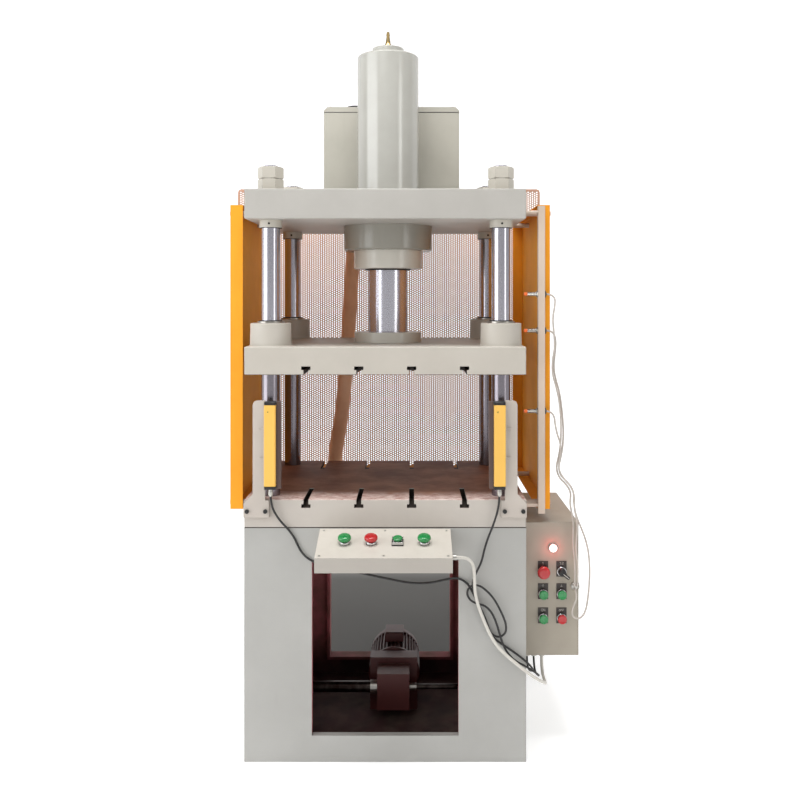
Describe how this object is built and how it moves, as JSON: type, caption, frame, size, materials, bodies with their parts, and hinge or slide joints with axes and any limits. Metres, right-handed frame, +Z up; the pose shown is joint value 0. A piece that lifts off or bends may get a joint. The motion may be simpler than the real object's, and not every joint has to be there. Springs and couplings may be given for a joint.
{
  "type": "hydraulic press",
  "caption": "Four-column hydraulic press: welded base with worktable, guided slide, overhead cylinder, oil tank, side guards, light curtains, two-hand console and control cabinet.",
  "frame": {"origin": "on the floor under the press axis, at the middle of the base's underside", "axes": "+X to the operator's right, +Y to the back, +Z up along the press axis"},
  "size_m": [1.1612, 0.8915, 2.161],
  "materials": {
    "grey_paint": "satin, slightly soiled",
    "dark_plate": "satin sides, bare oiled steel on top",
    "chromed_steel": "polished, light oil",
    "cylinder_paint": "satin",
    "machined_steel": "turned",
    "brass": "turned",
    "tank_paint": "satin",
    "motor_paint": "semi gloss, dusty",
    "pump_alloy": "as cast",
    "guard_yellow": "semi gloss",
    "mesh_sheet": "perforated, matt",
    "bracket_beige": "satin",
    "curtain_yellow": "satin",
    "zinc_steel": "zinc plated",
    "sensor_body": "nickel plated, orange tip",
    "console_paint": "satin",
    "black_plastic": "moulded",
    "green_plastic": "moulded",
    "red_plastic": "moulded",
    "lamp_lens": "diffusing",
    "label_dark": "matt",
    "black_cable": "extruded",
    "grey_cable": "extruded",
    "hose_rubber": "wrapped",
    "pipe_steel": "drawn",
    "bezel_chrome": "plated"
  },
  "bodies": {
    "press_frame": {"base_frame": "grey_paint", "worktable": "dark_plate", "crown_plate": "grey_paint", "column_front_left": "chromed_steel", "column_front_right": "chromed_steel", "column_rear_left": "chromed_steel", "column_rear_right": "chromed_steel", "column_nuts": "grey_paint", "cylinder_barrel": "cylinder_paint", "cylinder_ring_nut": "cylinder_paint", "rod_gland": "cylinder_paint", "cylinder_end_cap": "cylinder_paint", "bleed_fitting": "brass", "oil_tank": "tank_paint", "tank_lid": "tank_paint", "pump_motor": "motor_paint", "gear_pump": "pump_alloy", "valve_block": "pump_alloy", "guard_left": "guard_yellow", "guard_right": "guard_yellow", "guard_standoffs": "zinc_steel", "rear_mesh_guard": "mesh_sheet", "sensor_rail": "bracket_beige", "proximity_sensors": "sensor_body", "light_curtain_left": "curtain_yellow", "light_curtain_right": "curtain_yellow", "curtain_brackets": "bracket_beige", "console_box": "console_paint", "pilot_lamp": "lamp_lens", "label_plates": "label_dark", "button_bezels": "bezel_chrome", "cabinet_shell": "grey_paint", "control_gear": "black_plastic", "suction_hose": "hose_rubber", "console_conduit": "grey_cable", "cable_curtain_left": "black_cable", "cable_curtain_right": "black_cable", "sensor_cable_high": "grey_cable", "sensor_cable_middle": "grey_cable", "sensor_cable_low": "grey_cable", "hydraulic_pipes": "pipe_steel", "line_fittings": "zinc_steel"},
    "slide": {"slide_plate": "grey_paint", "guide_bushes": "machined_steel", "piston_rod": "chromed_steel", "rod_flange": "cylinder_paint"},
    "two_hand_left": {"two_hand_button_left": "green_plastic"},
    "console_stop": {"console_stop_button": "red_plastic"},
    "console_start": {"console_start_button": "green_plastic"},
    "two_hand_right": {"two_hand_button_right": "green_plastic"},
    "cabinet_stop": {"cabinet_stop_button": "red_plastic"},
    "slide_up": {"slide_up_button": "green_plastic"},
    "slide_down": {"slide_down_button": "green_plastic"},
    "pump_start": {"pump_start_button": "green_plastic"},
    "pump_stop": {"pump_stop_button": "red_plastic"},
    "selector": {"selector_knob": "black_plastic"},
    "door": {"cabinet_door": "grey_paint"},
    "lock": {"door_lock": "zinc_steel"},
    "rotor": {"motor_rotor": "machined_steel"},
    "filler": {"filler_cap": "black_plastic"}
  },
  "joints": [
    {"name": "slide_travel", "type": "slide", "parent": "press_frame", "child": "slide", "axis": [0, 0, 1], "range_m": [-0.22, 0.18]},
    {"name": "press_two_hand_left", "type": "slide", "parent": "press_frame", "child": "two_hand_left", "axis": [0, -0.2577, 0.9662], "range_m": [-0.004, 0], "stiffness_N_per_m": 1200},
    {"name": "press_console_stop", "type": "slide", "parent": "press_frame", "child": "console_stop", "axis": [0, -0.2577, 0.9662], "range_m": [-0.004, 0]},
    {"name": "press_console_start", "type": "slide", "parent": "press_frame", "child": "console_start", "axis": [0, -0.2577, 0.9662], "range_m": [-0.004, 0], "stiffness_N_per_m": 1200},
    {"name": "press_two_hand_right", "type": "slide", "parent": "press_frame", "child": "two_hand_right", "axis": [0, -0.2577, 0.9662], "range_m": [-0.004, 0], "stiffness_N_per_m": 1200},
    {"name": "press_cabinet_stop", "type": "slide", "parent": "press_frame", "child": "cabinet_stop", "axis": [0, -1, 0], "range_m": [-0.004, 0]},
    {"name": "press_slide_up", "type": "slide", "parent": "press_frame", "child": "slide_up", "axis": [0, -1, 0], "range_m": [-0.004, 0], "stiffness_N_per_m": 1200},
    {"name": "press_slide_down", "type": "slide", "parent": "press_frame", "child": "slide_down", "axis": [0, -1, 0], "range_m": [-0.004, 0], "stiffness_N_per_m": 1200},
    {"name": "press_pump_start", "type": "slide", "parent": "press_frame", "child": "pump_start", "axis": [0, -1, 0], "range_m": [-0.004, 0], "stiffness_N_per_m": 1200},
    {"name": "press_pump_stop", "type": "slide", "parent": "press_frame", "child": "pump_stop", "axis": [0, -1, 0], "range_m": [-0.004, 0], "stiffness_N_per_m": 1200},
    {"name": "turn_selector", "type": "hinge", "parent": "press_frame", "child": "selector", "pos_m": [0.515, -0.2115, 0.514], "axis": [0, -1, 0], "range_deg": [-45, 45]},
    {"name": "swing_door", "type": "hinge", "parent": "press_frame", "child": "door", "pos_m": [0.5693, 0.194, 0.462], "axis": [0, 0, 1], "range_deg": [0, 110]},
    {"name": "turn_lock", "type": "hinge", "parent": "door", "child": "lock", "pos_m": [0.5653, -0.184, 0.462], "axis": [1, 0, 0], "range_deg": [0, 90]},
    {"name": "spin_rotor", "type": "hinge", "parent": "press_frame", "child": "rotor", "pos_m": [0.018, 0.15, 0.1], "axis": [0, 1, 0], "continuous": true},
    {"name": "lift_filler_cap", "type": "slide", "parent": "press_frame", "child": "filler", "axis": [0, 0, 1], "range_m": [0, 0.03]}
  ]
}
